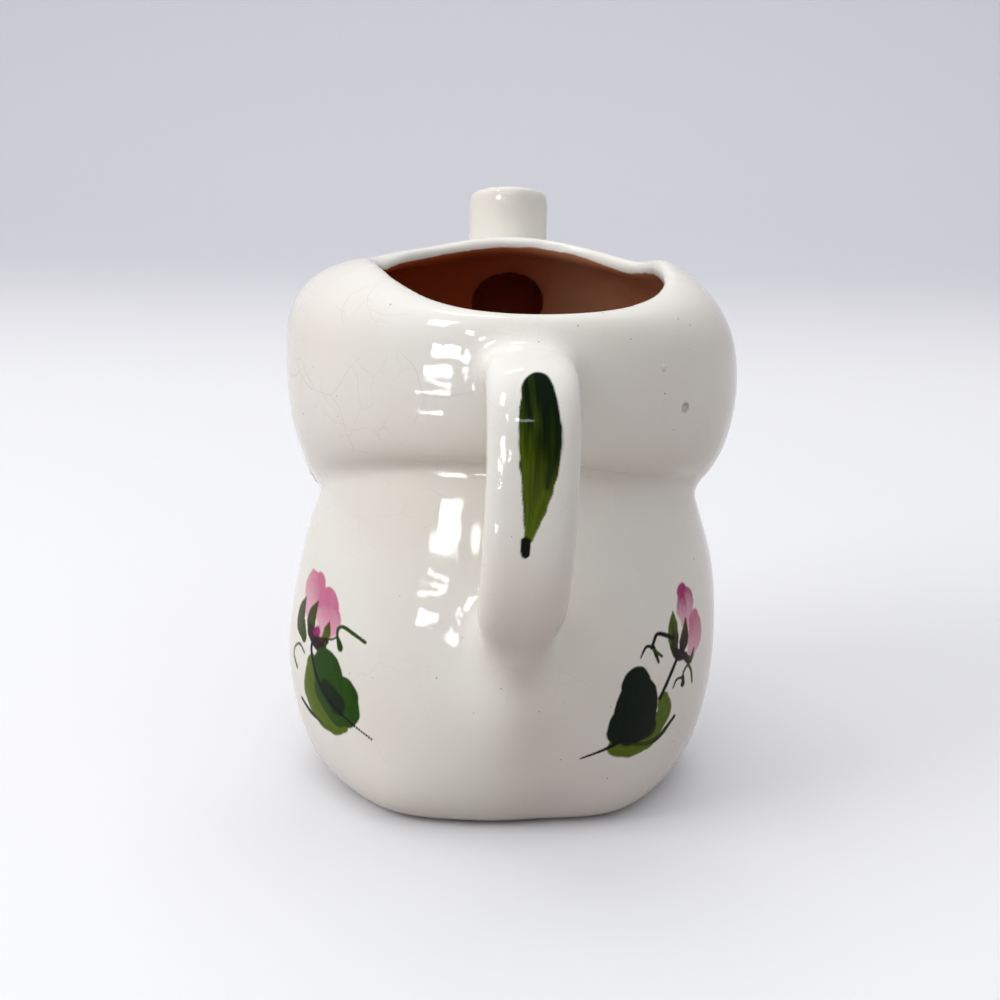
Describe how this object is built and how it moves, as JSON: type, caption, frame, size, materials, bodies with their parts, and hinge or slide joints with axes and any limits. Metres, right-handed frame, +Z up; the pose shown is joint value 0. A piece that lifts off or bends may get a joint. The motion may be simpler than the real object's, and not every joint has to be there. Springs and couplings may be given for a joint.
{
  "type": "cream jug",
  "caption": "Hand-made glazed pottery creamer shaped as a seated elephant with a raised trunk spout and a strap handle.",
  "frame": {"origin": "middle of the flat base the creamer stands on", "axes": "+Z up, +Y toward the face and trunk, -Y toward the handle, +X to the right when seen from behind"},
  "size_m": [0.0944, 0.1223, 0.1227],
  "materials": {
    "white_glaze": "gloss"
  },
  "bodies": {
    "root": {"belly": "white_glaze", "head": "white_glaze", "trunk_spout": "white_glaze", "handle": "white_glaze", "left_ear": "white_glaze", "right_ear": "white_glaze", "left_foreleg": "white_glaze", "right_foreleg": "white_glaze", "left_hind_foot": "white_glaze", "right_hind_foot": "white_glaze", "lower_lip": "white_glaze"}
  },
  "joints": []
}
